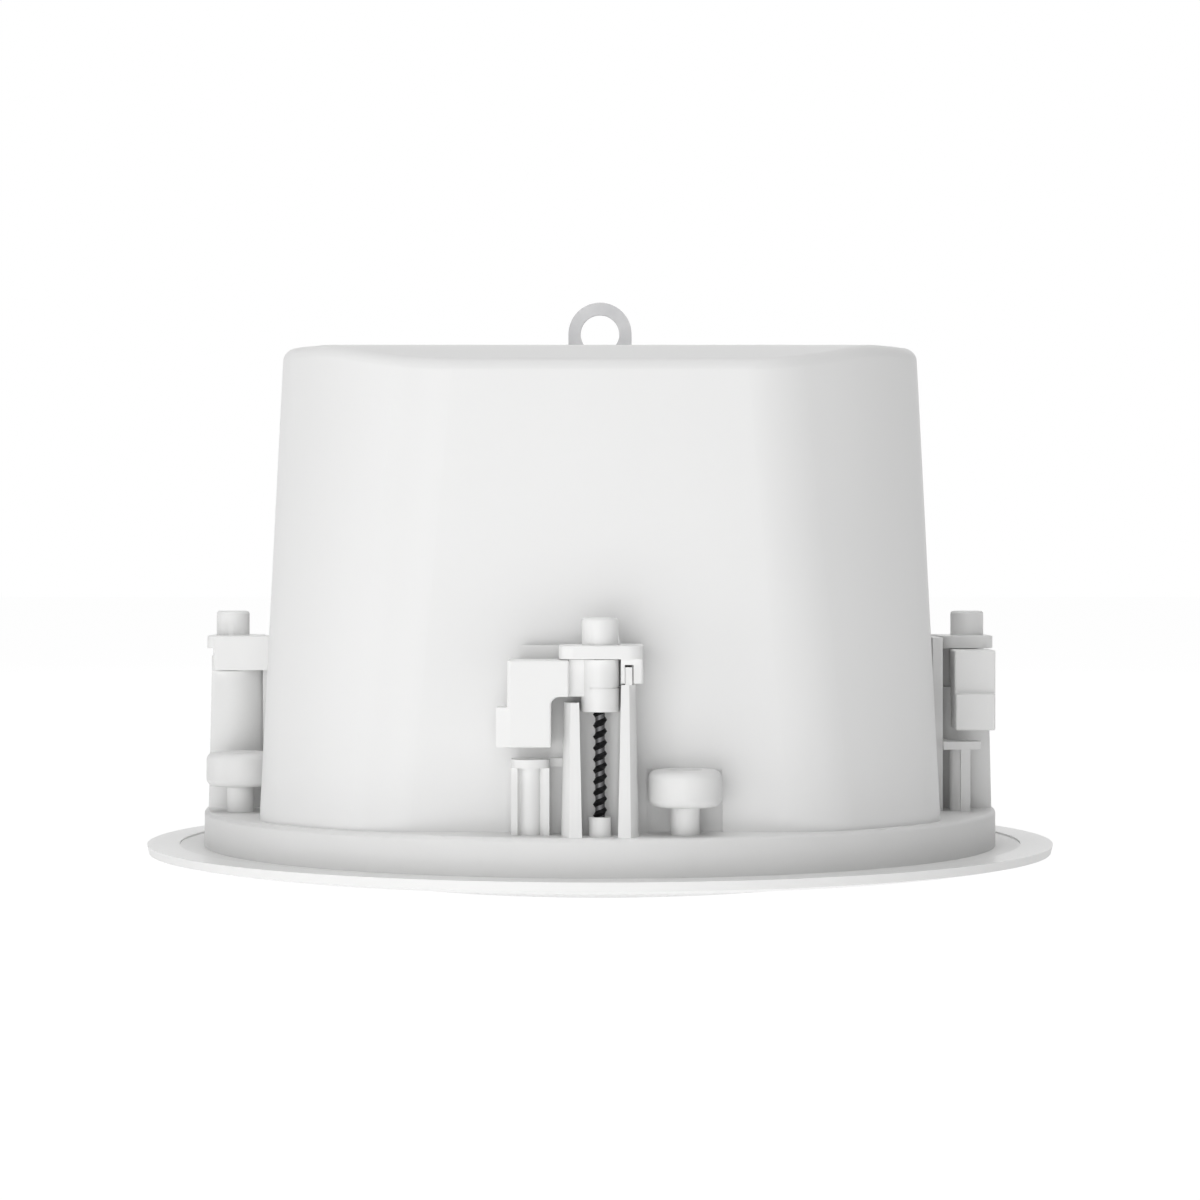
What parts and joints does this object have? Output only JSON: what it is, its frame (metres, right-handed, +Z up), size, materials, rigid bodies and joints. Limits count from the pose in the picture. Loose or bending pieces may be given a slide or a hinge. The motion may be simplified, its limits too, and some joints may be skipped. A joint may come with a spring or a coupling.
{
  "type": "in ceiling speaker",
  "caption": "Flush ceiling loudspeaker: a round flange and domed grille below, a tapered plastic back can above, swing-out clamps on screws and a safety eye on top.",
  "frame": {"origin": "centre of the flange's seat, the plane that meets the underside of the ceiling", "axes": "+Z up into the ceiling void, -Y towards the clamp nearest the viewer, +X to the viewer's right"},
  "size_m": [0.236, 0.236, 0.1536],
  "materials": {
    "white_abs": "moulded, fine satin grain",
    "white_rubber": "smooth matt moulded rubber",
    "zinc_steel": "zinc plated, pressed",
    "black_steel": "blackened, threaded",
    "white_steel": "powder coated, perforated",
    "basket_steel": "black paint on pressed steel",
    "gasket_foam": "closed-cell foam",
    "bright_steel": "zinc plated, turned",
    "ferrite": "sintered, matt",
    "former_foil": "rolled foil",
    "coil_wire": "lacquered copper wire",
    "cone_paper": "pressed black pulp",
    "surround_rubber": "soft moulded roll",
    "spider_cloth": "resin-set weave",
    "black_plastic": "moulded nylon"
  },
  "bodies": {
    "housing": {"bezel_frame": "white_abs", "back_can": "white_abs", "clamp_cap_front": "white_abs", "clamp_cap_right": "white_abs", "clamp_cap_rear": "white_abs", "clamp_cap_left": "white_abs", "bumper_front": "white_rubber", "bumper_right": "white_rubber", "bumper_rear": "white_rubber", "bumper_left": "white_rubber", "safety_eye": "zinc_steel", "eye_rivets": "zinc_steel", "terminal_screws": "zinc_steel", "can_screws": "black_steel", "driver_screws": "black_steel", "grille": "white_steel", "driver_basket": "basket_steel", "driver_gasket": "gasket_foam", "front_plate": "bright_steel", "pole_yoke": "bright_steel", "magnet_ring": "ferrite", "surround": "surround_rubber", "spider": "spider_cloth", "terminal_block": "black_plastic", "cable_gland": "black_plastic", "gland_nut": "black_plastic"},
    "arm_front": {"clamp_arm_front": "white_abs"},
    "screw_front": {"clamp_screw_front": "black_steel"},
    "arm_right": {"clamp_arm_right": "white_abs"},
    "screw_right": {"clamp_screw_right": "black_steel"},
    "arm_rear": {"clamp_arm_rear": "white_abs"},
    "screw_rear": {"clamp_screw_rear": "black_steel"},
    "arm_left": {"clamp_arm_left": "white_abs"},
    "screw_left": {"clamp_screw_left": "black_steel"},
    "diaphragm": {"cone": "cone_paper", "dust_cap": "cone_paper", "coil_former": "former_foil", "voice_coil": "coil_wire"}
  },
  "joints": [
    {"name": "arm_front_swing", "type": "hinge", "parent": "housing", "child": "arm_front", "pos_m": [0, -0.0964, 0.0446], "axis": [0, 0, 1], "range_deg": [0, 90]},
    {"name": "arm_right_swing", "type": "hinge", "parent": "housing", "child": "arm_right", "pos_m": [0.0964, 0, 0.0446], "axis": [0, 0, 1], "range_deg": [0, 90]},
    {"name": "arm_rear_swing", "type": "hinge", "parent": "housing", "child": "arm_rear", "pos_m": [0, 0.0964, 0.0446], "axis": [0, 0, 1], "range_deg": [0, 90]},
    {"name": "arm_left_swing", "type": "hinge", "parent": "housing", "child": "arm_left", "pos_m": [-0.0964, 0, 0.0446], "axis": [0, 0, 1], "range_deg": [0, 90]},
    {"name": "screw_front_turn", "type": "hinge", "parent": "housing", "child": "screw_front", "pos_m": [0, -0.0964, 0.0446], "axis": [0, 0, 1], "continuous": true},
    {"name": "screw_right_turn", "type": "hinge", "parent": "housing", "child": "screw_right", "pos_m": [0.0964, 0, 0.0446], "axis": [0, 0, 1], "continuous": true},
    {"name": "screw_rear_turn", "type": "hinge", "parent": "housing", "child": "screw_rear", "pos_m": [0, 0.0964, 0.0446], "axis": [0, 0, 1], "continuous": true},
    {"name": "screw_left_turn", "type": "hinge", "parent": "housing", "child": "screw_left", "pos_m": [-0.0964, 0, 0.0446], "axis": [0, 0, 1], "continuous": true},
    {"name": "cone_travel", "type": "slide", "parent": "housing", "child": "diaphragm", "axis": [0, 0, 1], "range_m": [-0.003, 0.003], "stiffness_N_per_m": 2000, "deforming": ["surround", "spider"]}
  ]
}
